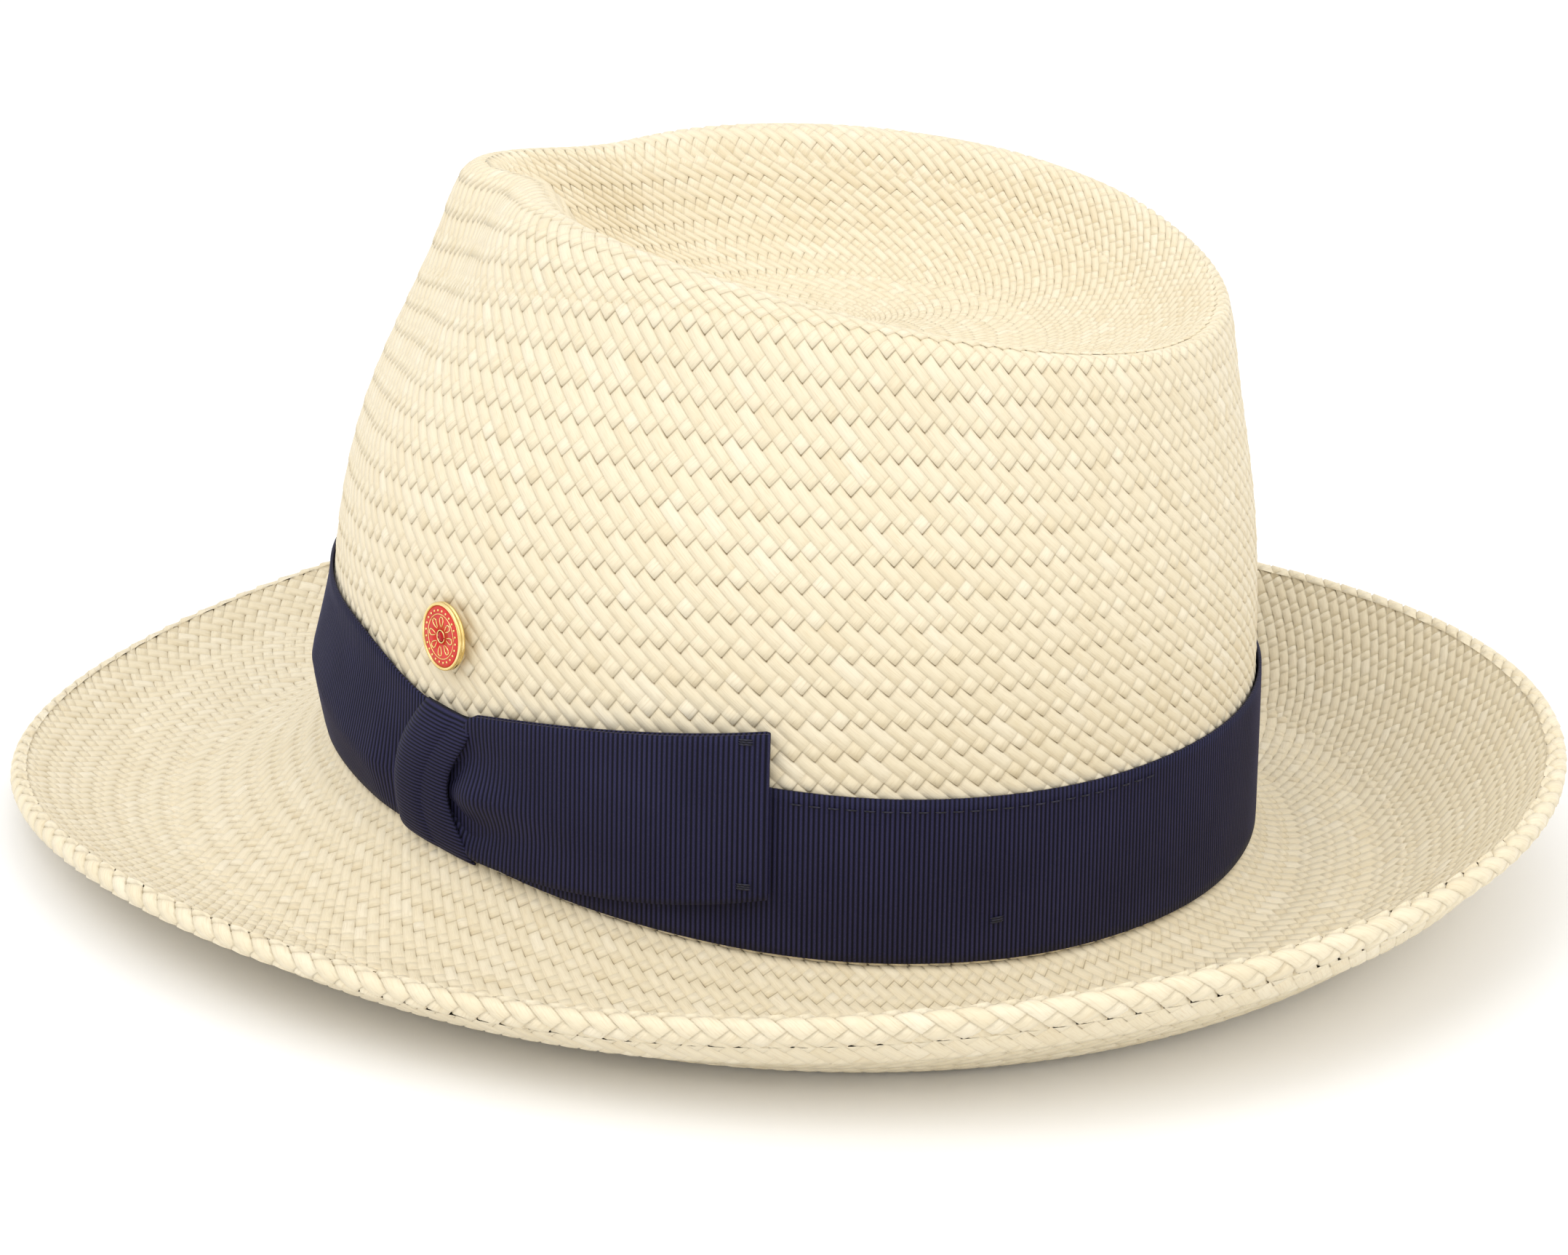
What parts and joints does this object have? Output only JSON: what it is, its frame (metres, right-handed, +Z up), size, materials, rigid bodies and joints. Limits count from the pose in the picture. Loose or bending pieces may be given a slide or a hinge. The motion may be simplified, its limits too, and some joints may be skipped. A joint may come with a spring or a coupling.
{
  "type": "fedora hat",
  "caption": "Woven straw fedora with teardrop crown, dished brim turned under at the edge, ribbon band with a flat bow, a pinned round badge and an inner sweatband.",
  "frame": {"origin": "centre of the hat's outline, on the plane that it stands on", "axes": "+Z up, -Y out of the front of the hat, +X towards the wearer's left, where the bow is"},
  "size_m": [0.2898, 0.348, 0.1417],
  "materials": {
    "straw": "woven natural straw",
    "steel_wire": "drawn",
    "navy_ribbon": "grosgrain",
    "navy_thread": "sewing thread",
    "gold": "polished gold plate",
    "red_enamel": "hard enamel",
    "red_stone": "cut glass",
    "sweat_cloth": "ribbed cotton",
    "cream_thread": "sewing thread",
    "paper": "coated paper"
  },
  "bodies": {
    "hat": {"straw_body": "straw", "brim_wire": "steel_wire", "hat_band": "navy_ribbon", "band_thread": "navy_thread", "band_tack_left": "navy_thread", "band_tack_right": "navy_thread", "band_tack_front": "navy_thread", "bow_loop": "navy_ribbon", "bow_knot": "navy_ribbon", "bow_tack_top": "navy_thread", "bow_tack_bottom": "navy_thread", "sweatband": "sweat_cloth", "sweatband_thread": "cream_thread", "sweatband_bow": "navy_ribbon", "size_label": "paper"},
    "badge": {"badge_disc": "gold", "badge_enamel": "red_enamel", "badge_stone": "red_stone"},
    "clutch": {"badge_clutch": "gold"}
  },
  "joints": [
    {"name": "badge_turn", "type": "hinge", "parent": "hat", "child": "badge", "pos_m": [0.08392, -0.02642, 0.06609], "axis": [0.9097, -0.4043, 0.0948], "continuous": true},
    {"name": "clutch_release", "type": "slide", "parent": "badge", "child": "clutch", "axis": [-0.9097, 0.4043, -0.0948], "range_m": [0, 0.007]}
  ]
}
